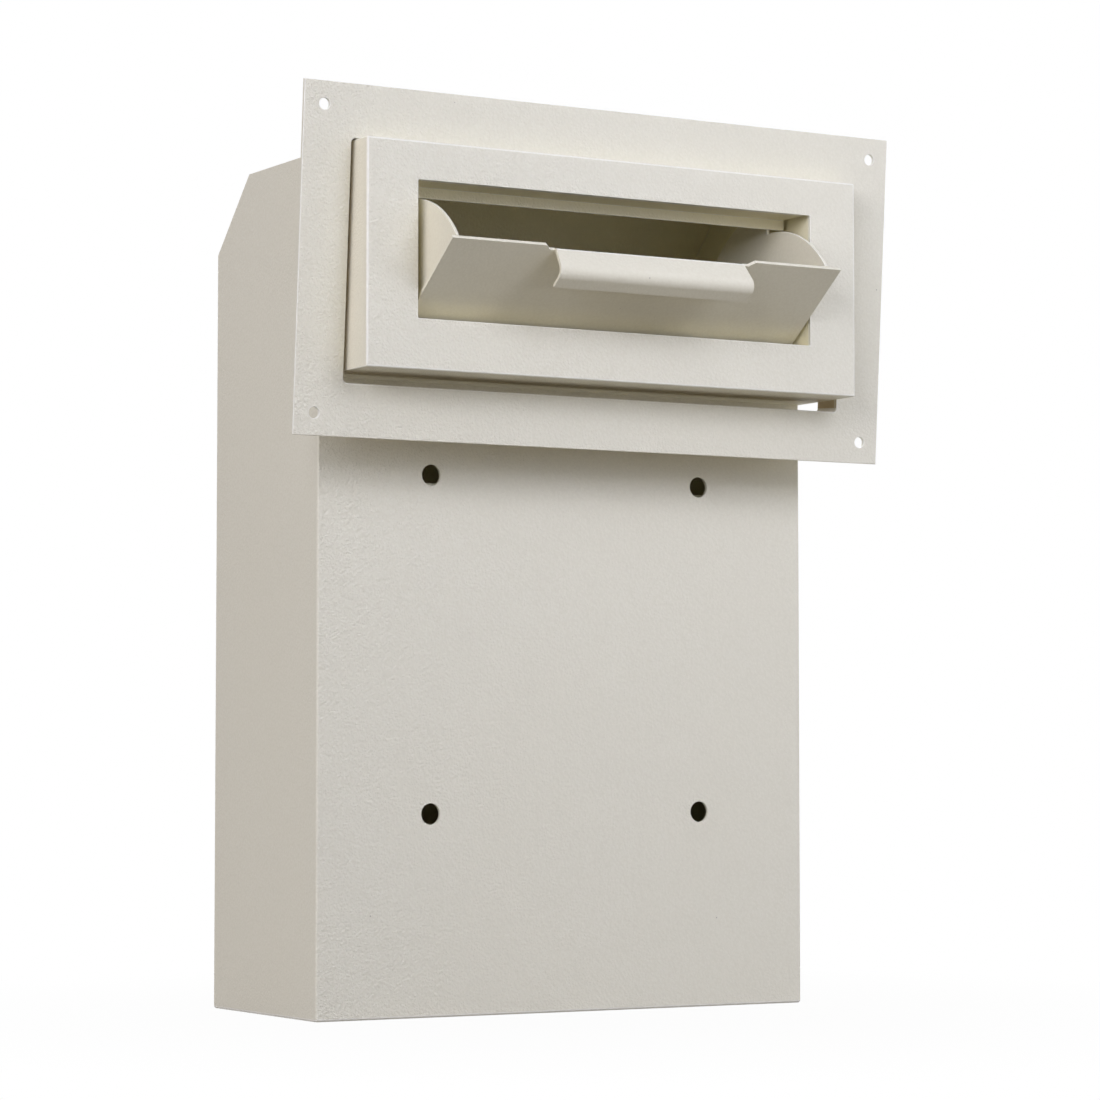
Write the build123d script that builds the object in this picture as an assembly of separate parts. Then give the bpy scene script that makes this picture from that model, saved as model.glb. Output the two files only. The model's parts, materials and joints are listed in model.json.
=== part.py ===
from build123d import *

import os
from math import atan2, cos, hypot, radians, sin, sqrt

# Axes: X across the box, Y towards the inside of the room, Z up.
# The origin is the centre of the four door bolts, in the face that lies against the door.

# Sheet metal
SHEET = 1.5
BEND_R = 2.0
EDGE_R = 0.35
CORNER_R = 1.0
SKIRT_R = 1.2
PAN_R = 1.5
RUNNING_GAP = 0.3
SHAFT_GAP = 0.05
SIDE_GAP = 0.5
OVERRUN = 1.0

# Box
BODY_W = 254.0
BODY_H = 380.7
BODY_D = 105.0
SLOPE = 34.0
BOLT_DX = 141.0
BOLT_DZ = 150.5
BOLT_R = 4.75
BOLT_HEIGHT = 165.0
BASE_Z = -BOLT_HEIGHT
TOP_Z = BASE_Z + BODY_H
HALF_W = BODY_W / 2
INNER_X = HALF_W - SHEET

# Rear opening and the pieces round it
FLANGE = 14.0
FLANGE_X = HALF_W - FLANGE
SLOPE_Z = TOP_Z - SLOPE
OPENING_Z0 = BASE_Z + FLANGE
OPENING_Z1 = SLOPE_Z - FLANGE
FLOOR_UPSTAND = 12.0
FLOOR_HALF = INNER_X - SIDE_GAP

# Nose and window
NOSE_D = 46.5
NOSE_H = 99.3
NOSE_Z0 = TOP_Z - NOSE_H
SEAM_Y = 0.2
NOSE_EDGE_R = 0.8
FACE_BACK = SHEET - NOSE_D
WINDOW_W = 204.2
WINDOW_H = 60.2
WINDOW_SILL = 22.25
WINDOW_Z0 = NOSE_Z0 + WINDOW_SILL
WINDOW_Z1 = WINDOW_Z0 + WINDOW_H
WINDOW_X = WINDOW_W / 2

# Hopper, drawn fully open: the flap leans OPEN_ANGLE forward of upright
OPEN_ANGLE = 53.2
PIVOT_Y = -31.0
PIVOT_Z = BASE_Z + 303.0
ROD_R = 2.0
ROD_HALF = 107.0
FLAP_HALF = 100.2
FLAP_TIP = 53.7
FLAP_FOOT = 3.2
NOTCH_TOP = 54.0
NOTCH_BOTTOM = 51.3
NOTCH_DEPTH = 2.5
LIP_HALF = 48.5
LIP_FRONT_HALF = 49.9
LIP_OUT = 13.6
LIP_DROP = 10.0
LIP_BEND_R = 5.0
LIP_TOP = FLAP_TIP - 1.6
LIP_LEG = 8.0
LIP_ROOT = LIP_TOP - 4.0
CHEEK_LEFT_X = -98.4
CHEEK_RIGHT_X = 91.8
CHEEK_R = 54.2
CHEEK_STOP_R = 67.2
CHEEK_END = 68.0
CHEEK_HUB_R = 5.0

# Jambs, soffit and sill behind the window
JAMB_BACK = -27.0
JAMB_EAR_BACK = -23.0
JAMB_EAR_Z = PIVOT_Z - 3.0
JAMB_STEP_Z = PIVOT_Z + 1.0
JAMB_Z0 = NOSE_Z0 + 6.0
JAMB_Z1 = WINDOW_Z1 + 8.0
JAMB_FLANGE = 10.0
RAIL_BACK = -26.5
RAIL_Z0 = WINDOW_Z1 - 4.8
RAIL_HALF = 100.0
RAIL_BEND_R = 1.7
SILL_BACK = PIVOT_Y - CHEEK_HUB_R - SIDE_GAP
SILL_HALF = WINDOW_X - SIDE_GAP
CAP_R = 4.5
CAP_T = 1.2

# Baffle below the throat
BAFFLE_TOP = NOSE_Z0 - 3.0
BAFFLE_BEND = NOSE_Z0 - 15.0
BAFFLE_REACH = 45.0
BAFFLE_DROP = 26.0
BAFFLE_HALF = INNER_X - SIDE_GAP

# Rear door
DOOR_GAP = 1.5
DOOR_X = FLANGE_X - DOOR_GAP
DOOR_Z0 = OPENING_Z0 + DOOR_GAP
DOOR_Z1 = OPENING_Z1 - DOOR_GAP
DOOR_RETURN = 10.0
STRIP_Y = 93.0
STRIP_REACH = 18.5
STRIP_LEG = 14.0
STRIP_MARGIN = 4.0

# Continuous hinge
HINGE_X = FLANGE_X - DOOR_GAP / 2
HINGE_R = 2.4
HINGE_Y = BODY_D + HINGE_R + RUNNING_GAP
PIN_R = 1.2
LEAF_T = 1.2
LEAF_W = 13.5
LEAF_GAP = HINGE_R + 0.4
KNUCKLES = 15
KNUCKLE_L = 20.0
KNUCKLE_GAP = 0.4
HINGE_Z0 = (DOOR_Z0 + DOOR_Z1 - KNUCKLES * KNUCKLE_L) / 2
RIVETS = 5
RIVET_R = 1.6
RIVET_HEAD_R = 3.0
RIVET_HEAD_T = 1.0
RIVET_DOME_R = 0.8
RIVET_BULB_R = 2.3
RIVET_BULB_L = 2.0
RIVET_OFFSET = 8.4

# Cam lock
LOCK_X = -93.0
LOCK_Z = BASE_Z + 190.0
LOCK_R = 9.5
LOCK_END = 92.9
BEZEL_R = 11.5
BEZEL_T = 2.0
BEZEL_EDGE_R = 1.2
PLUG_R = 6.3
PLUG_RECESS = 0.6
KEYWAY_OUT = 4.7
KEYWAY_IN = 3.1
KEYWAY_DEPTH = 3.5
KEYWAY_NOTCH = 1.8
NUT_FLATS = 24.0
NUT_T = 3.0
CAM_T = 2.0
CAM_R = 7.5
CAM_REACH = 22.0
CAM_CORNER_R = 2.0
TAIL = 5.6
WASHER_R = 5.2
WASHER_T = 0.8
SCREW_R = 2.0
SCREW_DEPTH = 4.0
SCREW_HEAD_R = 3.8
SCREW_HEAD_T = 2.2
SCREW_EDGE_R = 0.8
SCREW_SLOT_L = 4.4
SCREW_SLOT_W = 1.0

# Trim plate, which leans TRIM_TILT forward as it hangs on the nose by its collar
TRIM_W = 304.8
TRIM_H = 152.4
TRIM_TILT = 4.0
TRIM_Y = -26.8
TRIM_Z = BASE_Z + 252.5
TRIM_CUT_W = 257.9
TRIM_CUT_Z0 = 23.4
TRIM_CUT_Z1 = 128.9
TRIM_CUT_R = 2.0
TRIM_RIM_R = 0.6
COLLAR_D = 14.5
TRIM_HOLE_R = 2.5
TRIM_HOLE_X = 142.5
TRIM_HOLE_Z = 66.3


def box(x0, x1, y0, y1, z0, z1):
    """Box between two corners."""
    size = (x1 - x0, y1 - y0, z1 - z0)
    middle = ((x0 + x1) / 2, (y0 + y1) / 2, (z0 + z1) / 2)
    return Pos(*middle) * Box(*size)


def rod(start, end, radius):
    """Round bar between two points."""
    path = Vector(*end) - Vector(*start)
    return extrude(Plane(start, z_dir=path) * Circle(radius), amount=path.length)


def offset_points(points, distance):
    """The points of an open line moved sideways, to its left where distance is positive."""
    moved = []
    for i, (x, y) in enumerate(points):
        before = points[max(i - 1, 0)]
        after = points[min(i + 1, len(points) - 1)]
        sides = []
        for (x0, y0), (x1, y1) in ((before, (x, y)), ((x, y), after)):
            length = hypot(x1 - x0, y1 - y0)
            if length > 0:
                sides.append(((y0 - y1) / length, (x1 - x0) / length))
        if len(sides) == 1:
            sides = sides * 2
        (ax, ay), (bx, by) = sides
        scale = distance / (1 + ax * bx + ay * by)
        moved.append((x + scale * (ax + bx), y + scale * (ay + by)))
    return moved


def bent_sheet(points, inward, radius=BEND_R):
    """Section of a bent sheet: its shown face follows the points and its metal lies to their
    left where inward is 1, or to their right where it is -1."""
    inner = offset_points(points, inward * SHEET)
    shown_radii = []
    hidden_radii = []
    for (x0, y0), (x1, y1), (x2, y2) in zip(points, points[1:], points[2:]):
        turn = (x1 - x0) * (y2 - y1) - (y1 - y0) * (x2 - x1)
        wide, tight = radius, radius - SHEET
        shown_radii.append(wide if turn * inward > 0 else tight)
        hidden_radii.append(tight if turn * inward > 0 else wide)
    shown = FilletPolyline(*points, radius=shown_radii)
    hidden = FilletPolyline(*inner, radius=hidden_radii)
    ends = [Line(points[0], inner[0]), Line(points[-1], inner[-1])]
    return make_face(shown.edges() + hidden.edges() + ends)


def along_x(section, x0, x1):
    """A section drawn in Y and Z, drawn out from x0 to x1."""
    return extrude(Plane.YZ.offset(x0) * section, amount=x1 - x0)


def along_z(section, z0, z1):
    """A section drawn in X and Y, drawn out from z0 to z1."""
    return extrude(Plane.XY.offset(z0) * section, amount=z1 - z0)


def tilted(angle, y, z):
    """Frame at y, z whose local y axis points up, leaning forward by angle, and whose local z
    axis points out of the front."""
    lean = radians(angle)
    return Plane((0, y, z), x_dir=(1, 0, 0), z_dir=(0, -cos(lean), -sin(lean)))


def mirrored(shape):
    """The same shape on the other side of the box."""
    return mirror(shape, about=Plane.YZ)


def bolt_places():
    """Centres of the door bolts in X and Z."""
    return [(sx * BOLT_DX / 2, sz * BOLT_DZ / 2) for sx in (-1, 1) for sz in (-1, 1)]


def make_body_shell():
    y0, y1 = BODY_D - SHEET - OVERRUN, BODY_D + OVERRUN
    shell = box(-HALF_W, HALF_W, 0, BODY_D, BASE_Z, TOP_Z)
    shell = fillet(shell.edges().filter_by(Axis.Z), CORNER_R)
    skirt = shell.edges().filter_by(Axis.X).group_by(Axis.Z)[0].sort_by(Axis.Y)[0]
    shell = fillet(skirt, SKIRT_R)
    shell -= box(-INNER_X, INNER_X, SHEET, BODY_D - SHEET, BASE_Z, TOP_Z)
    shell -= box(-FLANGE_X, FLANGE_X, y0, y1, BASE_Z, TOP_Z)
    shell -= box(-HALF_W, HALF_W, -OVERRUN, SHEET, NOSE_Z0, TOP_Z)
    for side in (-1, 1):
        inner, outer = sorted((side * INNER_X, side * HALF_W))
        shell += box(inner, outer, SEAM_Y, SHEET, NOSE_Z0, TOP_Z)
    shell -= box(-INNER_X, INNER_X, y0, y1, OPENING_Z1, TOP_Z)
    shell -= box(-INNER_X, INNER_X, y0, y1, BASE_Z, OPENING_Z0)
    slope = Polygon((BODY_D - SLOPE, TOP_Z), (BODY_D, SLOPE_Z), (BODY_D, TOP_Z), align=None)
    shell -= along_x(slope, -HALF_W, HALF_W)
    for x, z in bolt_places():
        shell -= rod((x, -OVERRUN, z), (x, SHEET + OVERRUN, z), BOLT_R)
    for z in rivet_heights():
        shell -= rivet_hole(HINGE_X + RIVET_OFFSET, z)
    return shell


def make_bottom_panel():
    points = [
        (SHEET, BASE_Z + FLOOR_UPSTAND),
        (SHEET, BASE_Z),
        (BODY_D, BASE_Z),
        (BODY_D, OPENING_Z0),
    ]
    return along_x(bent_sheet(points, 1), -FLOOR_HALF, FLOOR_HALF)


def make_top_panel():
    points = [(SEAM_Y, TOP_Z), (BODY_D - SLOPE, TOP_Z), (BODY_D, SLOPE_Z), (BODY_D, OPENING_Z1)]
    return along_x(bent_sheet(points, -1), -INNER_X, INNER_X)


def make_nose_shell():
    nose = box(-HALF_W, HALF_W, -NOSE_D, SEAM_Y, NOSE_Z0, TOP_Z)
    nose = fillet(nose.edges().group_by(Axis.Y)[0], NOSE_EDGE_R)
    nose -= box(-INNER_X, INNER_X, FACE_BACK, SEAM_Y, NOSE_Z0 + SHEET, TOP_Z - SHEET)
    nose -= box(-WINDOW_X, WINDOW_X, -NOSE_D, FACE_BACK, WINDOW_Z0, WINDOW_Z1)
    rim = nose.edges().group_by(Axis.Y)[0]
    inside = rim.filter_by_position(Axis.X, -WINDOW_X, WINDOW_X)
    inside = inside.filter_by_position(Axis.Z, WINDOW_Z0, WINDOW_Z1)
    return fillet(inside, EDGE_R)


def make_jamb_right():
    outline = Polygon(
        (FACE_BACK, JAMB_Z0),
        (JAMB_EAR_BACK, JAMB_Z0),
        (JAMB_EAR_BACK, JAMB_EAR_Z),
        (JAMB_BACK, JAMB_STEP_Z),
        (JAMB_BACK, JAMB_Z1),
        (FACE_BACK, JAMB_Z1),
        align=None,
    )
    jamb = along_x(outline, WINDOW_X, WINDOW_X + SHEET)
    flange_x = WINDOW_X + SHEET + JAMB_FLANGE
    jamb += box(WINDOW_X, flange_x, FACE_BACK, FACE_BACK + SHEET, JAMB_Z0, JAMB_Z1)
    hole = rod((0, PIVOT_Y, PIVOT_Z), (HALF_W, PIVOT_Y, PIVOT_Z), ROD_R)
    return jamb - hole


def make_soffit_rail():
    points = [
        (FACE_BACK, JAMB_Z1),
        (FACE_BACK, WINDOW_Z1),
        (RAIL_BACK - SHEET, WINDOW_Z1),
        (RAIL_BACK - SHEET, RAIL_Z0),
    ]
    return along_x(bent_sheet(points, 1, radius=RAIL_BEND_R), -RAIL_HALF, RAIL_HALF)


def make_sill_rail():
    points = [(FACE_BACK, JAMB_Z0), (FACE_BACK, WINDOW_Z0), (SILL_BACK, WINDOW_Z0)]
    return along_x(bent_sheet(points, -1, radius=RAIL_BEND_R), -SILL_HALF, SILL_HALF)


def make_hinge_rod():
    return rod((-ROD_HALF, PIVOT_Y, PIVOT_Z), (ROD_HALF, PIVOT_Y, PIVOT_Z), ROD_R)


def make_rod_caps():
    start = WINDOW_X + SHEET
    cap = rod((start, PIVOT_Y, PIVOT_Z), (start + CAP_T, PIVOT_Y, PIVOT_Z), CAP_R)
    cap -= make_hinge_rod()
    return Compound([cap.solid(), mirrored(cap).solid()])


def make_baffle_plate():
    points = [
        (SHEET, BAFFLE_TOP),
        (SHEET, BAFFLE_BEND),
        (BAFFLE_REACH, BAFFLE_BEND - BAFFLE_DROP),
    ]
    return along_x(bent_sheet(points, 1), -BAFFLE_HALF, BAFFLE_HALF)


def make_door_stop_strip():
    points = [
        (-INNER_X, STRIP_Y + SHEET - STRIP_LEG),
        (-INNER_X, STRIP_Y + SHEET),
        (-INNER_X + STRIP_REACH, STRIP_Y + SHEET),
    ]
    section = bent_sheet(points, -1)
    return along_z(section, OPENING_Z0 + STRIP_MARGIN, OPENING_Z1 - STRIP_MARGIN)


def make_rear_door_panel():
    door = box(-DOOR_X, DOOR_X, BODY_D - DOOR_RETURN, BODY_D, DOOR_Z0, DOOR_Z1)
    door = fillet(door.edges().group_by(Axis.Y)[-1], PAN_R)
    door -= box(
        SHEET - DOOR_X,
        DOOR_X - SHEET,
        BODY_D - DOOR_RETURN,
        BODY_D - SHEET,
        DOOR_Z0 + SHEET,
        DOOR_Z1 - SHEET,
    )
    door -= rod((LOCK_X, BODY_D - SHEET, LOCK_Z), (LOCK_X, BODY_D, LOCK_Z), LOCK_R)
    for z in rivet_heights():
        door -= rivet_hole(HINGE_X - RIVET_OFFSET, z)
    return door


def rivet_heights():
    """Heights of the rivets in each hinge leaf."""
    step = KNUCKLES * KNUCKLE_L / RIVETS
    return [HINGE_Z0 + step * (i + 0.5) for i in range(RIVETS)]


def rivet_hole(x, z):
    """Hole through a hinge leaf and the sheet under it."""
    start, end = BODY_D - SHEET - OVERRUN, BODY_D + LEAF_T + OVERRUN
    return rod((x, start, z), (x, end, z), RIVET_R)


def hinge_leaf(side, first):
    """One leaf with its knuckles: side is 1 for the frame's leaf and -1 for the door's."""
    z1 = HINGE_Z0 + KNUCKLES * KNUCKLE_L
    near, far = HINGE_X + side * LEAF_GAP, HINGE_X + side * LEAF_W
    leaf = box(min(near, far), max(near, far), BODY_D, BODY_D + LEAF_T, HINGE_Z0, z1)
    for i in range(first, KNUCKLES, 2):
        z = HINGE_Z0 + i * KNUCKLE_L
        low, high = z + KNUCKLE_GAP / 2, z + KNUCKLE_L - KNUCKLE_GAP / 2
        leaf += rod((HINGE_X, HINGE_Y, low), (HINGE_X, HINGE_Y, high), HINGE_R)
        x0, x1 = sorted((HINGE_X, near))
        leaf += box(x0, x1, HINGE_Y - HINGE_R, BODY_D + LEAF_T, low, high)
    low, high = HINGE_Z0 - OVERRUN, z1 + OVERRUN
    leaf -= rod((HINGE_X, HINGE_Y, low), (HINGE_X, HINGE_Y, high), PIN_R + SHAFT_GAP)
    for z in rivet_heights():
        leaf -= rivet_hole(HINGE_X + side * RIVET_OFFSET, z)
    return leaf


def make_hinge_pin():
    z1 = HINGE_Z0 + KNUCKLES * KNUCKLE_L
    return rod((HINGE_X, HINGE_Y, HINGE_Z0), (HINGE_X, HINGE_Y, z1), PIN_R)


def rivet_row(x):
    """Blind rivets with a domed head outside and a bulb inside the sheet."""
    rivets = []
    head_y = BODY_D + LEAF_T
    bulb_y = BODY_D - SHEET
    end_y = bulb_y - RIVET_BULB_L
    for z in rivet_heights():
        rivet = rod((x, end_y, z), (x, head_y, z), RIVET_R)
        head = rod((x, head_y, z), (x, head_y + RIVET_HEAD_T, z), RIVET_HEAD_R)
        rivet += fillet(head.edges().group_by(Axis.Y)[-1], RIVET_DOME_R)
        rivet += rod((x, end_y, z), (x, bulb_y, z), RIVET_BULB_R)
        rivets.append(rivet.solid())
    return Compound(rivets)


def lock_rod(y0, y1, radius):
    """Round bar on the lock's axis."""
    return rod((LOCK_X, y0, LOCK_Z), (LOCK_X, y1, LOCK_Z), radius)


def lock_block(y0, y1, half):
    """Square bar on the lock's axis."""
    return box(LOCK_X - half, LOCK_X + half, y0, y1, LOCK_Z - half, LOCK_Z + half)


def make_lock_housing():
    bezel_y = BODY_D + BEZEL_T
    bezel = lock_rod(BODY_D, bezel_y, BEZEL_R)
    bezel = fillet(bezel.edges().group_by(Axis.Y)[-1], BEZEL_EDGE_R)
    housing = lock_rod(LOCK_END, BODY_D, LOCK_R) + bezel
    return housing - lock_rod(LOCK_END - OVERRUN, bezel_y + OVERRUN, PLUG_R + SHAFT_GAP)


def make_lock_nut():
    frame = Plane((LOCK_X, BODY_D - SHEET, LOCK_Z), x_dir=(1, 0, 0), z_dir=(0, -1, 0))
    nut = extrude(frame * RegularPolygon(NUT_FLATS / 2, 6, major_radius=False), amount=NUT_T)
    return nut - lock_rod(LOCK_END, BODY_D, LOCK_R)


def cam_back():
    """Y of the cam's inner face."""
    return LOCK_END - RUNNING_GAP - CAM_T


def make_lock_plug():
    front = BODY_D + BEZEL_T - PLUG_RECESS
    floor = front - KEYWAY_DEPTH
    end = front + OVERRUN
    plug = lock_rod(LOCK_END - RUNNING_GAP, front, PLUG_R)
    plug += lock_block(cam_back(), LOCK_END, TAIL / 2)
    groove = lock_rod(floor, end, KEYWAY_OUT) - lock_rod(floor, end, KEYWAY_IN)
    half = KEYWAY_NOTCH / 2
    rim_z = LOCK_Z + KEYWAY_OUT
    groove += box(LOCK_X - half, LOCK_X + half, floor, end, rim_z - half, rim_z + half)
    return plug - groove - lock_rod(cam_back() - OVERRUN, LOCK_END + SCREW_DEPTH, SCREW_R)


def make_lock_cam():
    y0, y1 = cam_back(), LOCK_END - RUNNING_GAP
    cam = lock_rod(y0, y1, CAM_R)
    cam += box(LOCK_X - CAM_R, LOCK_X + CAM_R, y0, y1, LOCK_Z - CAM_REACH, LOCK_Z)
    corners = cam.edges().filter_by(Axis.Y).group_by(Axis.Z)[0]
    return fillet(corners, CAM_CORNER_R) - lock_block(y0, y1, TAIL / 2)


def make_cam_washer():
    y0, y1 = cam_back() - WASHER_T, cam_back()
    return lock_rod(y0, y1, WASHER_R) - lock_rod(y0, y1, SCREW_R)


def make_cam_screw():
    seat = cam_back() - WASHER_T
    head_y = seat - SCREW_HEAD_T
    head = lock_rod(head_y, seat, SCREW_HEAD_R)
    head = fillet(head.edges().group_by(Axis.Y)[0], SCREW_EDGE_R)
    for turn in (0, 90):
        place = Pos(LOCK_X, head_y, LOCK_Z) * Rot(0, turn, 0)
        head -= place * Box(SCREW_SLOT_L, SCREW_HEAD_T, SCREW_SLOT_W)
    return head + lock_rod(seat, LOCK_END + SCREW_DEPTH, SCREW_R)


def flap_frame():
    """Frame at the hinge rod, with local y up the open flap and local z out of its front."""
    return tilted(OPEN_ANGLE, PIVOT_Y, PIVOT_Z)


def lip_section():
    """Section of the pull lip, as x out of the flap's front and y up the flap."""
    points = [
        (-SHEET, LIP_TOP - LIP_LEG),
        (-SHEET, LIP_TOP),
        (LIP_OUT, LIP_TOP),
        (LIP_OUT, LIP_TOP - LIP_DROP),
    ]
    inner = offset_points(points, -SHEET)
    shown = FilletPolyline(*points, radius=[BEND_R, LIP_BEND_R])
    hidden = FilletPolyline(*inner, radius=[BEND_R - SHEET, LIP_BEND_R - SHEET])
    ends = [Line(points[0], inner[0]), Line(points[-1], inner[-1])]
    return make_face(shown.edges() + hidden.edges() + ends)


def make_hopper_flap():
    outline = Polygon(
        (-FLAP_HALF, FLAP_FOOT),
        (FLAP_HALF, FLAP_FOOT),
        (FLAP_HALF, FLAP_TIP),
        (NOTCH_TOP, FLAP_TIP),
        (NOTCH_BOTTOM, FLAP_TIP - NOTCH_DEPTH),
        (LIP_HALF, FLAP_TIP - NOTCH_DEPTH),
        (LIP_HALF, LIP_ROOT),
        (-LIP_HALF, LIP_ROOT),
        (-LIP_HALF, FLAP_TIP - NOTCH_DEPTH),
        (-NOTCH_BOTTOM, FLAP_TIP - NOTCH_DEPTH),
        (-NOTCH_TOP, FLAP_TIP),
        (-FLAP_HALF, FLAP_TIP),
        align=None,
    )
    flap = extrude(outline, amount=-SHEET)
    lip_frame = Plane((0, 0, 0), x_dir=(0, 0, 1), z_dir=(-1, 0, 0))
    lip = extrude(lip_frame * lip_section(), amount=LIP_FRONT_HALF, both=True)
    return flap_frame() * (flap + (lip & lip_spread()))


def lip_spread():
    """Block that trims the lip's ends, so that it is wider at its front than at its root."""
    plan = Polygon(
        (-LIP_HALF, -SHEET),
        (LIP_HALF, -SHEET),
        (LIP_HALF, 0),
        (LIP_FRONT_HALF, LIP_OUT),
        (-LIP_FRONT_HALF, LIP_OUT),
        (-LIP_HALF, 0),
        align=None,
    )
    plan_frame = Plane((0, FLAP_TIP, 0), x_dir=(1, 0, 0), z_dir=(0, -1, 0))
    return extrude(plan_frame * plan, amount=FLAP_TIP)


def cheek_outline():
    """Side view of a cheek in the open pose, as Y and Z from the hinge rod."""
    lean = radians(OPEN_ANGLE)
    up = (-sin(lean), cos(lean))
    out = (-cos(lean), -sin(lean))
    reach = sqrt(CHEEK_R**2 - SHEET**2)
    tip = (up[0] * reach - out[0] * SHEET, up[1] * reach - out[1] * SHEET)
    crown_angle = (atan2(tip[0], tip[1]) + atan2(stop_y(), CHEEK_R)) / 2
    crown = (CHEEK_R * sin(crown_angle), CHEEK_R * cos(crown_angle))
    shoulder_low = (stop_y(), sqrt(CHEEK_R**2 - stop_y() ** 2))
    shoulder_high = (stop_y(), sqrt(CHEEK_STOP_R**2 - stop_y() ** 2))
    end_angle = radians(CHEEK_END)
    tail = (CHEEK_STOP_R * sin(end_angle), CHEEK_STOP_R * cos(end_angle))
    middle_angle = (end_angle + atan2(stop_y(), CHEEK_STOP_R)) / 2
    middle = (CHEEK_STOP_R * sin(middle_angle), CHEEK_STOP_R * cos(middle_angle))
    foot = (up[0] * FLAP_FOOT - out[0] * SHEET, up[1] * FLAP_FOOT - out[1] * SHEET)
    edges = [
        Line(foot, tip),
        ThreePointArc(tip, crown, shoulder_low),
        Line(shoulder_low, shoulder_high),
        ThreePointArc(shoulder_high, middle, tail),
        Line(tail, (0, 0)),
        Line((0, 0), foot),
    ]
    return make_face(edges)


def stop_y():
    """Y from the hinge rod to the cheek's stop edge, just behind the soffit's lip."""
    return RAIL_BACK + RUNNING_GAP - PIVOT_Y


def make_cheek(x):
    """A cheek whose left face is at x."""
    cheek = along_x(Pos(PIVOT_Y, PIVOT_Z) * cheek_outline(), x, x + SHEET)
    hub = rod((x, PIVOT_Y, PIVOT_Z), (x + SHEET, PIVOT_Y, PIVOT_Z), CHEEK_HUB_R)
    sheet_room = box(-FLAP_HALF, FLAP_HALF, FLAP_FOOT, FLAP_TIP, -SHEET, CHEEK_HUB_R)
    cheek += hub - flap_frame() * sheet_room
    start, end = x - OVERRUN, x + SHEET + OVERRUN
    hole = rod((start, PIVOT_Y, PIVOT_Z), (end, PIVOT_Y, PIVOT_Z), ROD_R + SHAFT_GAP)
    return cheek - hole


def trim_cut(margin):
    """Outline of the trim plate's cut-out, grown by a margin all round."""
    width = TRIM_CUT_W + 2 * margin
    height = TRIM_CUT_Z1 - TRIM_CUT_Z0 + 2 * margin
    middle = (TRIM_CUT_Z0 + TRIM_CUT_Z1) / 2
    return Pos(0, middle) * RectangleRounded(width, height, TRIM_CUT_R + margin)


def make_trim_plate():
    sheet = Pos(0, TRIM_H / 2) * Rectangle(TRIM_W, TRIM_H)
    for sx in (-1, 1):
        for sz in (-1, 1):
            place = Pos(sx * TRIM_HOLE_X, TRIM_H / 2 + sz * TRIM_HOLE_Z)
            sheet -= place * Circle(TRIM_HOLE_R)
    plate = extrude(sheet, amount=-SHEET)
    plate = fillet(plate.edges().group_by(Axis.Z)[-1], EDGE_R)
    plate -= extrude(trim_cut(0), amount=-SHEET)
    front = plate.edges().group_by(Axis.Z)[-1]
    rim = front.filter_by_position(Axis.X, -TRIM_CUT_W / 2, TRIM_CUT_W / 2)
    rim = rim.filter_by_position(Axis.Y, TRIM_CUT_Z0, TRIM_CUT_Z1)
    plate = fillet(rim, TRIM_RIM_R)
    return tilted(TRIM_TILT, TRIM_Y, TRIM_Z) * plate


def make_trim_collar():
    """Strip welded behind the plate, all round its cut-out."""
    ring = extrude(trim_cut(SHEET) - trim_cut(0), amount=-COLLAR_D)
    return tilted(TRIM_TILT, TRIM_Y, TRIM_Z) * Pos(0, 0, -SHEET) * ring


def make_nodes():
    """Every node by its name."""
    jamb = make_jamb_right()
    return {
        "body_shell": make_body_shell(),
        "bottom_panel": make_bottom_panel(),
        "top_panel": make_top_panel(),
        "nose_shell": make_nose_shell(),
        "jamb_left": mirrored(jamb),
        "jamb_right": jamb,
        "soffit_rail": make_soffit_rail(),
        "sill_rail": make_sill_rail(),
        "hinge_rod": make_hinge_rod(),
        "rod_caps": make_rod_caps(),
        "baffle_plate": make_baffle_plate(),
        "door_stop_strip": make_door_stop_strip(),
        "hinge_leaf_frame": hinge_leaf(1, 0),
        "hinge_leaf_door": hinge_leaf(-1, 1),
        "hinge_pin": make_hinge_pin(),
        "frame_rivets": rivet_row(HINGE_X + RIVET_OFFSET),
        "door_rivets": rivet_row(HINGE_X - RIVET_OFFSET),
        "rear_door_panel": make_rear_door_panel(),
        "lock_housing": make_lock_housing(),
        "lock_nut": make_lock_nut(),
        "lock_plug": make_lock_plug(),
        "lock_cam": make_lock_cam(),
        "cam_washer": make_cam_washer(),
        "cam_screw": make_cam_screw(),
        "hopper_flap": make_hopper_flap(),
        "cheek_left": make_cheek(CHEEK_LEFT_X),
        "cheek_right": make_cheek(CHEEK_RIGHT_X),
        "trim_plate": make_trim_plate(),
        "trim_collar": make_trim_collar(),
    }


def main():
    os.makedirs("parts", exist_ok=True)
    for name, shape in make_nodes().items():
        export_step(shape, f"parts/{name}.step")


main()
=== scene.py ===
import json
from math import cos, pi, radians, sin

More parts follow.
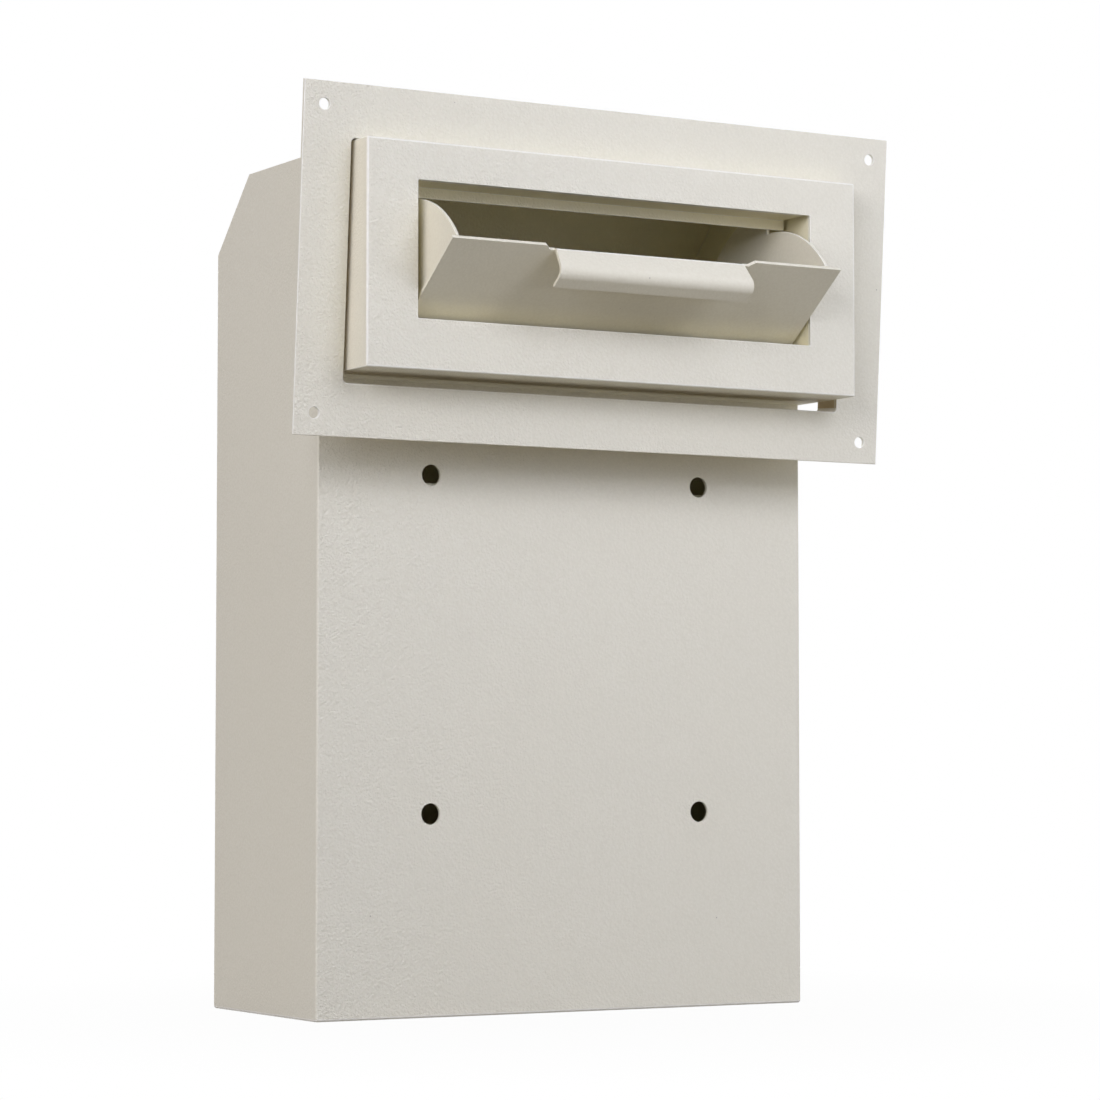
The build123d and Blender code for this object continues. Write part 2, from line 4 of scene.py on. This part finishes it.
import bmesh
import bpy
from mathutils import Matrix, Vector


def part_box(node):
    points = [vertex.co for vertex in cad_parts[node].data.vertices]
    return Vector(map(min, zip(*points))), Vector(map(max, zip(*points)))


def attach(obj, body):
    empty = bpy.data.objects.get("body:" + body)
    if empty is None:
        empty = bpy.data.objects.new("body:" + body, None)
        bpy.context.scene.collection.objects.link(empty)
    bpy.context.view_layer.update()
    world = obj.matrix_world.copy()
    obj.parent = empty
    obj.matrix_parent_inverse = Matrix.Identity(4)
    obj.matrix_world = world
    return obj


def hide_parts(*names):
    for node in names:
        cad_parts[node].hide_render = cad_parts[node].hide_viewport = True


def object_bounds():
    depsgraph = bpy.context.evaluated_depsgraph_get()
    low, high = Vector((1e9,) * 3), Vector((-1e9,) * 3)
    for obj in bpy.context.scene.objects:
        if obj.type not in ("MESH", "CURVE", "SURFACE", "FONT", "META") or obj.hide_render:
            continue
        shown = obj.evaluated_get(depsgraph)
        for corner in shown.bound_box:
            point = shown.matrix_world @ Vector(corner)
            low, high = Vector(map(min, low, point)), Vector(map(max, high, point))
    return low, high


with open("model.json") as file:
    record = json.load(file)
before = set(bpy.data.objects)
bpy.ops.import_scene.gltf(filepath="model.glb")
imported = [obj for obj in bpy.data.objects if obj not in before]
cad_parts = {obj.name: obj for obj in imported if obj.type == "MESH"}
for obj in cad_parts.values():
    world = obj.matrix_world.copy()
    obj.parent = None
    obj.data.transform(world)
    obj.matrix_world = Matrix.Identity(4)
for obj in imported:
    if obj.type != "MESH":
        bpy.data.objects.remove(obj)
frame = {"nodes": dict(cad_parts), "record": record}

# Axes as in the frame: X across the box, Y into the room, Z up, in metres.
CAD_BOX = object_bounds()
NODES = frame["nodes"]
FLOOR_Z = CAD_BOX[0].z

# Camera, as fitted to the photograph's 1100 by 1100 pixels
CAMERA_PLACE = (-0.81747, -1.38680, -0.05141)
CAMERA_TURN = -30.23
CAMERA_PITCH = 3.39
FOCAL_PIXELS = 3545.85
FRAME_PIXELS = 1100
SENSOR_MM = 36.0

# Colours of paint and plating. A coat has its colour, the colour where it has aged, and that of
# its pits, darker as painted shade. Inside the box its colour goes from a darker one to a yellower
# one over the heights DEEP_Z, painted shade deep down and painted bounced light above them, and
# the inner sides of the trim plate's collar have a browner one, painted shade in the gap there.
FACE_COAT = ((0.830, 0.790, 0.635), (0.825, 0.780, 0.618), (0.790, 0.748, 0.590))
# The flap's coat is a shade yellower: painted light, for the warm light it gets from below.
FLAP_COAT = ((0.830, 0.785, 0.615), (0.825, 0.776, 0.600), (0.795, 0.746, 0.575))
# Lighter coat on the rims: a painted highlight.
RIM_HIGHLIGHT_COAT = ((0.930, 0.905, 0.790), (0.920, 0.890, 0.765), (0.890, 0.855, 0.720))
# Painted bounced light and painted shade inside the box: yellower above, darker deep down.
BOUNCE_COAT = (0.930, 0.865, 0.610)
DEEP_SHADE_COAT = (0.660, 0.610, 0.450)
DEEP_Z = (0.02, 0.11)
# Browner colour for the collar's inner sides: painted shade in the gap beside the nose.
COLLAR_SHADE_COAT = (0.680, 0.560, 0.360)
SPECK = (0.420, 0.370, 0.270)
WHITE = (1.0, 1.0, 1.0)
ZINC = (0.500, 0.505, 0.500)
ZINC_DULL = (0.375, 0.375, 0.362)
CHROME = (0.640, 0.640, 0.645)
CHROME_DULL = (0.500, 0.500, 0.505)
ALUMINIUM = (0.600, 0.605, 0.615)
ALUMINIUM_DULL = (0.460, 0.460, 0.470)

# Floor. Its own white is FLOOR_GLOW within FLOOR_NEAR of the origin and full from FLOOR_FADE on.
FLOOR_SIZE = 30.0
FLOOR_NEAR = 0.15
FLOOR_FADE = 0.40
FLOOR_GLOW = 0.965
FLOOR_COLOUR = (0.260, 0.235, 0.190)
FLOOR_ROUGHNESS = 0.9

# Lamps. A softbox has its name, azimuth to the left of straight ahead, elevation, distance,
# size, power and colour, and points at LAMP_AIM.
LAMP_AIM = (0.0, 0.0, 0.05)
COOL = (0.800, 0.830, 1.0)
WARM = (0.957, 0.917, 1.0)
PLAIN = (0.870, 0.885, 1.0)
SOFTBOXES = (
    ("key", 0, 45, 1.1, 0.5, 1.65, COOL),
    ("top", -10, 65, 1.7, 0.8, 1.0, COOL),
    ("high_right", -20, 30, 1.1, 0.5, 4.15, COOL),
    ("low_right", -10, 0, 1.7, 0.8, 2.95, COOL),
    ("far_right", -60, 10, 2.8, 1.3, 10.4, COOL),
    ("left_front", 50, 20, 2.8, 1.3, 30.6, COOL),
    ("left_small", 65, 17, 2.8, 0.8, 6.1, WARM),
    ("left", 80, 15, 2.8, 1.3, 18.5, WARM),
    ("rear", -160, 25, 2.8, 1.6, 40.0, PLAIN),
    ("rear_right", -105, 20, 2.8, 1.3, 14.0, PLAIN),
)

# Rounded rims of the sheets. A strip of one is under STRIP_W wide by its area, under half of
# STRIP_STEP wide by its short edges, and under STRIP_L long.
RIM_R = 0.00045
RIM_SEGMENTS = 2
STRIP_W = 0.0004
STRIP_L = 0.27
STRIP_STEP = 0.00125
SHARP = radians(38)
FLAT = radians(0.5)
JOIN_GAP = 1e-6
FACE_WEIGHT = 80
PAINTED = ("textured_paint", "smooth_paint")

# Where paint is thin or dirty
HALF_SHEET = 0.00075
FADE = 0.0007
SPECK_SPACING = 0.022
SPECK_SIZE = 0.018

# Grain of the coat. Its height is GRAIN_LEFT at GRAIN_X to the left, GRAIN_RIGHT as far to the
# right, and SIDE_GRAIN of that on faces that look sideways.
GRAIN_X = 0.13
GRAIN_LEFT = 2.1
GRAIN_RIGHT = 0.7
SIDE_GRAIN = 0.35
TURNING = (0.3, 0.9)
PEBBLE_SMOOTH = 0.7
PEBBLE_LEVELS = (0.1, 0.9)
PEBBLE_SHARE = 0.5
GRIT_SIZE = 0.55
GRIT_SHARE = 0.75
RELIEF_LEVELS = (0.45, 0.95)
PATCH_SIZE = 0.09
PATCH_LEVELS = (0.38, 0.68)

# Streaks, dull blooms and fine grain of the zinc, and marks and hairlines of the other metals
STREAK_SCALE = (1.0, 1.0, 0.08)
STREAK_SIZE = 0.0006
BLOOM_SIZE = 0.006
BLOOM_LEVELS = (0.42, 0.66)
ZINC_GRAIN = 0.0004
ZINC_ROUGHNESS = 0.2
STREAK_SPREAD = 0.25
BLOOM_SPREAD = 0.12
ZINC_RELIEF = 0.00001
MARK_SIZE = 0.004
MARK_LEVELS = (0.45, 0.70)
HAIRLINE_SCALE = (0.12, 1.0, 1.0)
HAIRLINE_SIZE = 0.00035
MARK_SPREAD = 0.14
HAIRLINE_SPREAD = 0.08

# Sockets of a mix of colours, whose names the mixes of numbers share
MIX_COLOURS = slice(6, 8)
MIXED_COLOUR = 2

# Turned pieces. A profile's points are a radius and a depth behind the piece's front.
SIDES = 48
RIVETS = 5
RIVET_PROFILE = (
    (0.0, 0.00045),
    (0.00075, 0.00050),
    (0.00080, 0.00080),
    (0.00105, 0.00080),
    (0.00110, 0.00004),
    (0.00130, 0.0),
    (0.00200, 0.00008),
    (0.00260, 0.00030),
    (0.00295, 0.00070),
    (0.00300, 0.00100),
    (0.00160, 0.00100),
    (0.00160, 0.00370),
    (0.00230, 0.00390),
    (0.00230, 0.00530),
    (0.00190, 0.00570),
    (0.00070, 0.00570),
    (0.0, 0.00540),
)
LOCK_BORE = 0.00635
LOCK_BARREL = 0.0095
LOCK_CHAMFER = 0.0004
BEZEL_T = 0.002
BEZEL_ROUND = ((0.0012, 0.0), (0.0005, 0.0002), (0.00015, 0.0006), (0.0, 0.0012))
THREAD_PITCH = 0.001
THREAD_DEPTH = 0.0004
TURNED_RIM_R = 0.00006

# Weld beads. Tip and valley are shares of the radius, and tip length and end ones of a ripple.
BEAD_R = 0.0014
BEAD_L = 0.022
BEAD_RIPPLE = 0.0012
BEAD_TIP = 0.6
BEAD_TIP_L = 0.3
BEAD_VALLEY = 0.84
BEAD_END = 0.2
BEAD_PLACES = (0.012, 0.044)


def node(tree, kind, settings=None, **inputs):
    """A shader node, with its settings, and its inputs as values or as other nodes' outputs."""
    made = tree.nodes.new(kind)
    for key, value in (settings or {}).items():
        setattr(made, key, value)
    for key, value in inputs.items():
        connect(tree, made.inputs[key.replace("_", " ")], value)
    return made


def connect(tree, socket, value):
    """Gives an input a value, or links another node's output to it."""
    if isinstance(value, bpy.types.NodeSocket):
        tree.links.new(value, socket)
    else:
        socket.default_value = value


def arithmetic(tree, operation, *values):
    """A sum, product or other operation on numbers."""
    made = node(tree, "ShaderNodeMath", {"operation": operation})
    for socket, value in zip(made.inputs, values):
        connect(tree, socket, value)
    return made.outputs["Value"]


def remap(tree, value, low, high, new_low=0.0, new_high=1.0):
    """A number moved from one range to another, and held inside it."""
    limits = {"From_Min": low, "From_Max": high, "To_Min": new_low, "To_Max": new_high}
    return node(tree, "ShaderNodeMapRange", Value=value, **limits).outputs["Result"]


def tint(tree, factor, first, second):
    """A colour between two others, each a colour or a node's output."""
    made = node(tree, "ShaderNodeMix", {"data_type": "RGBA"})
    connect(tree, made.inputs["Factor"], factor)
    for socket, colour in zip(made.inputs[MIX_COLOURS], (first, second)):
        is_link = isinstance(colour, bpy.types.NodeSocket)
        connect(tree, socket, colour if is_link else (*colour, 1.0))
    return made.outputs[MIXED_COLOUR]


def noise(tree, place, size, detail=2.0, roughness=0.5):
    """Soft noise whose lumps are about size metres across."""
    values = {"Scale": 1 / size, "Detail": detail, "Roughness": roughness}
    return node(tree, "ShaderNodeTexNoise", Vector=place, **values).outputs["Fac"]


def stretched(tree, place, scale):
    """A place scaled along each axis, which draws textures out into streaks."""
    return node(tree, "ShaderNodeMapping", Vector=place, Scale=scale).outputs["Vector"]


def new_material(name):
    """A material with its node tree, shader and object coordinates."""
    material = bpy.data.materials.new(name)
    material.use_nodes = True
    tree = material.node_tree
    place = node(tree, "ShaderNodeTexCoord").outputs["Object"]
    return material, tree, tree.nodes["Principled BSDF"], place


def bump(tree, shader, height, depth):
    """Relief of that depth in metres."""
    made = node(tree, "ShaderNodeBump", Height=height, Distance=depth, Strength=1.0)
    tree.links.new(made.outputs["Normal"], shader.inputs["Normal"])


def between(tree, value, low, high):
    """Zero where a number lies outside two others, which rises to one within FADE of them."""
    above = remap(tree, value, low, low + FADE)
    return arithmetic(tree, "MULTIPLY", above, remap(tree, value, high - FADE, high, 1.0, 0.0))


def inside_box(tree, place, corners):
    """One inside a box given by its lowest and highest corners, which fades to zero outside."""
    axes = node(tree, "ShaderNodeSeparateXYZ", Vector=place).outputs
    across, along, up = (between(tree, axes[i], corners[0][i], corners[1][i]) for i in range(3))
    return arithmetic(tree, "MULTIPLY", arithmetic(tree, "MULTIPLY", across, along), up)


def inside_shade_mask(tree, place):
    """One on the faces inside the box and its nose, where the coat takes painted shade and painted
    bounced light.
    """
    masks = []
    for name in ("body_shell", "nose_shell"):
        low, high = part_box(name)
        inset = Vector((HALF_SHEET, HALF_SHEET, HALF_SHEET))
        masks.append(inside_box(tree, place, (low + inset, high - inset)))
    return arithmetic(tree, "MAXIMUM", *masks)


def collar_shade_mask(tree, place, level):
    """One on the inner sides of the collar round the nose, which take a browner colour as painted
    shade for the gap beside the nose. Level is how far a face looks to the front or back."""
    low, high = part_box("nose_shell")
    margin = Vector((FADE, FADE, FADE))
    around = inside_box(tree, place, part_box("trim_collar"))
    nose = inside_box(tree, place, (low - margin, high + margin))
    upright = remap(tree, level, *TURNING, 1.0, 0.0)
    beside = arithmetic(tree, "SUBTRACT", around, nose)
    return arithmetic(tree, "MULTIPLY", arithmetic(tree, "MAXIMUM", beside, 0.0), upright)


def specks(tree, place):
    """One on the few grains of dirt that the coat has taken in, and zero elsewhere."""
    cells = node(tree, "ShaderNodeTexVoronoi", Vector=place, Scale=1 / SPECK_SPACING)
    return remap(tree, cells.outputs["Distance"], SPECK_SIZE / 2, SPECK_SIZE, 1.0, 0.0)


def powder_coat(name, coat, pebble, depth, shine, shaded_inside=True):
    """Cream powder coat whose pebbles are pebble metres across and depth metres high, higher
    towards the left and lower on the sides, with painted shade in its pits. Shine is its lowest
    and highest roughness. A coat shaded inside has painted bounced light and shade inside the box,
    yellower and darker deep down there, and painted shade, browner, on the collar's inner sides."""
    material, tree, shader, place = new_material(name)
    cells = node(
        tree,
        "ShaderNodeTexVoronoi",
        {"feature": "SMOOTH_F1"},
        Vector=place,
        Scale=1 / pebble,
        Smoothness=PEBBLE_SMOOTH,
        Randomness=1.0,
    )
    pebbles = remap(tree, cells.outputs["Distance"], *PEBBLE_LEVELS, 1.0, 0.0)
    pebbles = arithmetic(tree, "MULTIPLY", pebbles, PEBBLE_SHARE)
    grit = noise(tree, place, GRIT_SIZE * pebble, roughness=0.6)
    relief = arithmetic(tree, "MULTIPLY_ADD", grit, GRIT_SHARE, pebbles)
    height = remap(tree, relief, *RELIEF_LEVELS)
    patches = remap(tree, noise(tree, place, PATCH_SIZE, detail=3.0), *PATCH_LEVELS)
    # Darker in the pits between the pebbles: painted shade.
    coat_and_shade = tint(tree, height, coat[2], tint(tree, patches, coat[0], coat[1]))
    axes = node(tree, "ShaderNodeSeparateXYZ", Vector=place).outputs
    facing = node(tree, "ShaderNodeTexCoord").outputs["Normal"]
    facing = node(tree, "ShaderNodeSeparateXYZ", Vector=facing).outputs
    if shaded_inside:
        # Inside the box: painted bounced light, yellower, going to painted shade, darker, deep
        # down.
        bounce_and_shade = tint(tree, remap(tree, axes["Z"], *DEEP_Z), DEEP_SHADE_COAT, BOUNCE_COAT)
        coat_and_shade = tint(tree, inside_shade_mask(tree, place), coat_and_shade, bounce_and_shade)
        level = arithmetic(tree, "ABSOLUTE", facing["Y"])
        # Browner on the collar's inner sides: painted shade in the gap beside the nose.
        coat_and_shade = tint(tree, collar_shade_mask(tree, place, level), coat_and_shade, COLLAR_SHADE_COAT)
    connect(tree, shader.inputs["Base Color"], tint(tree, specks(tree, place), coat_and_shade, SPECK))
    connect(tree, shader.inputs["Roughness"], remap(tree, height, 0.0, 1.0, shine[1], shine[0]))
    coarse = remap(tree, axes["X"], -GRAIN_X, GRAIN_X, GRAIN_LEFT, GRAIN_RIGHT)
    sideways = arithmetic(tree, "ABSOLUTE", facing["X"])
    on_sides = remap(tree, sideways, *TURNING, 1.0, SIDE_GRAIN)
    coarse = arithmetic(tree, "MULTIPLY", coarse, on_sides)
    bump(tree, shader, arithmetic(tree, "MULTIPLY", relief, coarse), depth)
    return material


def zinc_plate(name):
    """Bright zinc, with faint rolling streaks, dull blooms and a fine grain."""
    material, tree, shader, place = new_material(name)
    drawn = stretched(tree, place, STREAK_SCALE)
    streaks = noise(tree, drawn, STREAK_SIZE, detail=3.0, roughness=0.6)
    clouds = noise(tree, place, BLOOM_SIZE, detail=4.0, roughness=0.6)
    bloom = remap(tree, clouds, *BLOOM_LEVELS)
    grain = noise(tree, place, ZINC_GRAIN)
    connect(tree, shader.inputs["Base Color"], tint(tree, bloom, ZINC, ZINC_DULL))
    duller = arithmetic(tree, "MULTIPLY", bloom, BLOOM_SPREAD)
    uneven = arithmetic(tree, "MULTIPLY_ADD", streaks, STREAK_SPREAD, duller)
    connect(tree, shader.inputs["Roughness"], arithmetic(tree, "ADD", uneven, ZINC_ROUGHNESS))
    shader.inputs["Metallic"].default_value = 1.0
    bump(tree, shader, arithmetic(tree, "ADD", streaks, grain), ZINC_RELIEF)
    return material


def polished_metal(name, colour, dull, roughness, scratch):
    """Turned or die-cast metal with hairline scratches and handling marks."""
    material, tree, shader, place = new_material(name)
    handled = noise(tree, place, MARK_SIZE, detail=4.0, roughness=0.65)
    marks = remap(tree, handled, *MARK_LEVELS)
    drawn = stretched(tree, place, HAIRLINE_SCALE)
    hairlines = noise(tree, drawn, HAIRLINE_SIZE, detail=3.0, roughness=0.7)
    connect(tree, shader.inputs["Base Color"], tint(tree, marks, colour, dull))
    scratched = arithmetic(tree, "MULTIPLY", hairlines, HAIRLINE_SPREAD)
    spread = arithmetic(tree, "MULTIPLY_ADD", marks, MARK_SPREAD, scratched)
    connect(tree, shader.inputs["Roughness"], arithmetic(tree, "ADD", spread, roughness))
    shader.inputs["Metallic"].default_value = 1.0
    bump(tree, shader, hairlines, scratch)
    return material


def make_materials():
    """The materials by the record's slots."""
    return {
        "textured_paint": powder_coat(
            "textured_coat", FACE_COAT, pebble=0.00125, depth=0.00022, shine=(0.42, 0.56)
        ),
        "smooth_paint": powder_coat(
            "smooth_coat", FLAP_COAT, pebble=0.0014, depth=0.00004, shine=(0.58, 0.70), shaded_inside=False
        ),
        "plated_steel": zinc_plate("zinc_plate"),
        "rivet_aluminium": polished_metal(
            "rivet_metal", ALUMINIUM, ALUMINIUM_DULL, roughness=0.30, scratch=0.000008
        ),
        "lock_chrome": polished_metal(
            "lock_metal", CHROME, CHROME_DULL, roughness=0.08, scratch=0.000004
        ),
    }


def paint_nodes(materials):
    """Every CAD node takes the material of its slot in the record."""
    for entry in frame["record"]["subparts"]:
        for slot in NODES[entry["node"]].material_slots:
            slot.material = materials[entry["material_slot"]]


def geometry_group(name):
    """An empty node group for meshes, with the output of its start and the input of its end."""
    group = bpy.data.node_groups.new(name, "GeometryNodeTree")
    for way in ("INPUT", "OUTPUT"):
        group.interface.new_socket("Geometry", in_out=way, socket_type="NodeSocketGeometry")
    start = group.nodes.new("NodeGroupInput").outputs[0]
    return group, start, group.nodes.new("NodeGroupOutput").inputs[0]


def smoothing_group():
    """Node group that drops stored normals and shades every face smooth."""
    group, start, end = geometry_group("smooth_faces")
    drop = node(group, "GeometryNodeRemoveAttribute", Geometry=start, Name="custom_normal")
    smooth = node(group, "GeometryNodeSetShadeSmooth", Geometry=drop.outputs[0])
    group.links.new(smooth.outputs[0], end)
    return group


def on_edges(group, value):
    """A number taken edge by edge, which a face sees as the mean over its edges."""
    made = node(group, "GeometryNodeFieldOnDomain", {"domain": "EDGE", "data_type": "FLOAT"})
    group.links.new(value, made.inputs[0])
    return made.outputs[0]


def rim_highlight_group(coat):
    """Node group that gives the narrow strips of rounded edges a lighter coat, a painted
    highlight.
    """
    group, start, end = geometry_group("highlight_rims")
    ends = node(group, "GeometryNodeInputMeshEdgeVertices").outputs
    length = node(group, "ShaderNodeVectorMath", {"operation": "DISTANCE"})
    group.links.new(ends["Position 1"], length.inputs[0])
    group.links.new(ends["Position 2"], length.inputs[1])
    mean = on_edges(group, length.outputs["Value"])
    steep = on_edges(group, arithmetic(group, "DIVIDE", 1.0, length.outputs["Value"]))
    area = node(group, "GeometryNodeInputMeshFaceArea").outputs[0]
    narrow = arithmetic(group, "LESS_THAN", area, arithmetic(group, "MULTIPLY", mean, 2 * STRIP_W))
    tight = arithmetic(group, "GREATER_THAN", steep, 1 / STRIP_STEP)
    short = arithmetic(group, "LESS_THAN", mean, STRIP_L / 2)
    strip = arithmetic(group, "MULTIPLY", arithmetic(group, "MULTIPLY", narrow, tight), short)
    painted = node(group, "GeometryNodeSetMaterial", Geometry=start, Selection=strip)
    painted.inputs["Material"].default_value = coat
    group.links.new(painted.outputs[0], end)
    return group


def round_rims(piece, smoothing, highlighting=None, radius=RIM_R):
    """Gives a piece's sharp edges the small radius that paint or plating leaves on them."""
    piece.modifiers.new("smooth", "NODES").node_group = smoothing
    piece.modifiers.new("join", "WELD").merge_threshold = JOIN_GAP
    flatten = piece.modifiers.new("flatten", "DECIMATE")
    flatten.decimate_type = "DISSOLVE"
    flatten.angle_limit = FLAT
    rims = piece.modifiers.new("rims", "BEVEL")
    rims.width = radius
    rims.segments = RIM_SEGMENTS
    rims.limit_method = "ANGLE"
    rims.angle_limit = SHARP
    # The rim strips of painted pieces take the lighter coat, a painted highlight.
    if highlighting:
        piece.modifiers.new("coat", "NODES").node_group = highlighting
    shade = piece.modifiers.new("shade", "WEIGHTED_NORMAL")
    shade.weight = FACE_WEIGHT


def finish_nodes(smoothing, highlighting):
    """Rounds the rims of every CAD node, and gives those of the painted ones a painted highlight.
    """
    for entry in frame["record"]["subparts"]:
        is_painted = entry["material_slot"] in PAINTED
        round_rims(NODES[entry["node"]], smoothing, highlighting if is_painted else None)


def lathe(mesh, profile, front, way=-1, closed=False):
    """Adds a turned solid to a mesh. Front is the middle of its front, and its depth runs along
    Y, to lower Y where way is -1."""
    rings = []
    for radius, depth in profile:
        count = SIDES if radius > 0 else 1
        angles = [2 * pi * i / count for i in range(count)]
        places = [front + Vector((radius * cos(t), way * depth, radius * sin(t))) for t in angles]
        rings.append([mesh.verts.new(place) for place in places])
    pairs = zip(rings, rings[1:] + rings[:1]) if closed else zip(rings, rings[1:])
    for first, second in pairs:
        for i in range(SIDES):
            around = ((first, i), (first, i + 1), (second, i + 1), (second, i))
            mesh.faces.new(dict.fromkeys(ring[j % len(ring)] for ring, j in around))


def body_of(name):
    """The body that a CAD node belongs to."""
    bodies = frame["record"]["behaviour"]["bodies"]
    return next(body for body, names in bodies.items() if name in names)


def make_piece(name, mesh, slot, body, materials, smoothing):
    """A new object from a mesh, which rides on a body and has a slot's material."""
    bmesh.ops.recalc_face_normals(mesh, faces=mesh.faces)
    data = bpy.data.meshes.new(name)
    mesh.to_mesh(data)
    mesh.free()
    data.materials.append(materials[slot])
    piece = bpy.data.objects.new(name, data)
    bpy.context.scene.collection.objects.link(piece)
    round_rims(piece, smoothing, radius=TURNED_RIM_R)
    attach(piece, body)
    return piece


def make_rivets(name, replaced, materials, smoothing):
    """A row of blind rivets, each with its broken mandrel in its head."""
    low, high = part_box(replaced)
    head = (high.x - low.x) / 2
    step = (high.z - low.z - 2 * head) / (RIVETS - 1)
    mesh = bmesh.new()
    for i in range(RIVETS):
        lathe(mesh, RIVET_PROFILE, Vector((low.x + head, high.y, low.z + head + i * step)))
    body = body_of(replaced)
    rivets = make_piece(name, mesh, "rivet_aluminium", body, materials, smoothing)
    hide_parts(replaced)


def lock_profile(rim, length):
    """Bore, rounded bezel and threaded barrel of the lock's housing."""
    points = [(LOCK_BORE, length), (LOCK_BORE, LOCK_CHAMFER), (LOCK_BORE + LOCK_CHAMFER, 0.0)]
    points += [(rim - inset, depth) for inset, depth in BEZEL_ROUND]
    points.append((rim, BEZEL_T))
    root = LOCK_BARREL - THREAD_DEPTH
    turns = int((length - BEZEL_T) / THREAD_PITCH)
    for i in range(turns):
        depth = BEZEL_T + i * THREAD_PITCH
        for quarter, radius in enumerate((root, root, LOCK_BARREL, LOCK_BARREL)):
            points.append((radius, depth + quarter / 4 * THREAD_PITCH))
    return points + [(root, BEZEL_T + turns * THREAD_PITCH)]


def make_lock_housing(materials, smoothing):
    """Chromed housing of the lock, with its threaded barrel through the door."""
    low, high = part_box("lock_housing")
    front = Vector(((low.x + high.x) / 2, high.y, (low.z + high.z) / 2))
    mesh = bmesh.new()
    lathe(mesh, lock_profile((high.x - low.x) / 2, high.y - low.y), front, closed=True)
    body = body_of("lock_housing")
    housing = make_piece("lock_barrel", mesh, "lock_chrome", body, materials, smoothing)
    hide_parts("lock_housing")


def make_weld_beads(materials, smoothing):
    """Short weld beads inside, along the corners of the floor and of the top."""
    low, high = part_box("body_shell")
    sheet = 2 * HALF_SHEET
    ripples = int(BEAD_L / BEAD_RIPPLE)
    profile = [(0.0, 0.0), (BEAD_TIP * BEAD_R, BEAD_TIP_L * BEAD_RIPPLE)]
    for i in range(1, ripples):
        profile.append((BEAD_R, i * BEAD_RIPPLE))
        profile.append((BEAD_VALLEY * BEAD_R, (i + 0.5) * BEAD_RIPPLE))
    profile.append((0.0, (ripples + BEAD_END) * BEAD_RIPPLE))
    mesh = bmesh.new()
    for x in (low.x + sheet, high.x - sheet):
        for z in (low.z + sheet, high.z - sheet):
            for y in BEAD_PLACES:
                lathe(mesh, profile, Vector((x, y, z)), way=1)
    make_piece("weld_beads", mesh, "textured_paint", "safe_body", materials, smoothing)


def in_view(tree):
    """One where the camera, glossy metal or glass looks, and zero for any other light."""
    path = node(tree, "ShaderNodeLightPath").outputs
    mirror = arithmetic(tree, "MAXIMUM", path["Is Glossy Ray"], path["Is Transmission Ray"])
    return arithmetic(tree, "MAXIMUM", path["Is Camera Ray"], mirror)


def make_world():
    """White background that gives no light of its own."""
    world = bpy.data.worlds.new("studio")
    bpy.context.scene.world = world
    world.use_nodes = True
    tree = world.node_tree
    sky = tree.nodes["Background"]
    sky.inputs["Color"].default_value = (*WHITE, 1.0)
    tree.links.new(in_view(tree), sky.inputs["Strength"])


def make_floor():
    """Floor that looks white and fades into the background, with the object's shadow near it."""
    mesh = bpy.data.meshes.new("floor")
    half = FLOOR_SIZE / 2
    around = ((-half, -half), (half, -half), (half, half), (-half, half))
    mesh.from_pydata([(x, y, FLOOR_Z) for x, y in around], [], [(0, 1, 2, 3)])
    floor = bpy.data.objects.new("floor", mesh)
    bpy.context.scene.collection.objects.link(floor)
    material, tree, shader, place = new_material("white_floor")
    shader.inputs["Base Color"].default_value = (*FLOOR_COLOUR, 1.0)
    shader.inputs["Roughness"].default_value = FLOOR_ROUGHNESS
    reach = node(tree, "ShaderNodeVectorMath", {"operation": "LENGTH"})
    tree.links.new(place, reach.inputs[0])
    glow = remap(tree, reach.outputs["Value"], FLOOR_NEAR, FLOOR_FADE, FLOOR_GLOW, 1.0)
    white = node(tree, "ShaderNodeEmission", Strength=1.0)
    share = arithmetic(tree, "MULTIPLY", in_view(tree), glow)
    mixed = node(tree, "ShaderNodeMixShader", Fac=share)
    tree.links.new(shader.outputs["BSDF"], mixed.inputs[1])
    tree.links.new(white.outputs["Emission"], mixed.inputs[2])
    tree.links.new(mixed.outputs["Shader"], tree.nodes["Material Output"].inputs["Surface"])
    mesh.materials.append(material)


def make_softbox(name, azimuth, elevation, distance, size, power, colour):
    """Square lamp that points at the object."""
    lamp = bpy.data.lights.new(name, "AREA")
    lamp.size = size
    lamp.energy = power
    lamp.color = colour
    turn, lift = radians(azimuth), radians(elevation)
    away = Vector((-sin(turn) * cos(lift), -cos(turn) * cos(lift), sin(lift)))
    softbox = bpy.data.objects.new(name, lamp)
    softbox.location = Vector(LAMP_AIM) + distance * away
    softbox.rotation_euler = (-away).to_track_quat("-Z", "Y").to_euler()
    bpy.context.scene.collection.objects.link(softbox)


def make_camera():
    """Camera at the photograph's viewpoint."""
    lens = bpy.data.cameras.new("camera")
    lens.sensor_width = SENSOR_MM
    lens.lens = FOCAL_PIXELS / FRAME_PIXELS * SENSOR_MM
    camera = bpy.data.objects.new("camera", lens)
    camera.location = CAMERA_PLACE
    camera.rotation_euler = (radians(90 + CAMERA_PITCH), 0.0, radians(CAMERA_TURN))
    bpy.context.scene.collection.objects.link(camera)
    bpy.context.scene.camera = camera


make_camera()
materials = make_materials()
paint_nodes(materials)
smooth_faces = smoothing_group()
# Lighter, glossier coat for the rims: a painted highlight.
rim_highlight_coat = powder_coat(
    "rim_highlight_coat", RIM_HIGHLIGHT_COAT, pebble=0.0014, depth=0.00003, shine=(0.34, 0.44), shaded_inside=False
)
finish_nodes(smooth_faces, rim_highlight_group(rim_highlight_coat))
make_rivets("frame_blind_rivets", "frame_rivets", materials, smooth_faces)
make_rivets("door_blind_rivets", "door_rivets", materials, smooth_faces)
make_lock_housing(materials, smooth_faces)
make_weld_beads(materials, smooth_faces)
make_world()
make_floor()
for softbox in SOFTBOXES:
    make_softbox(*softbox)
bpy.context.scene.view_settings.view_transform = "Standard"
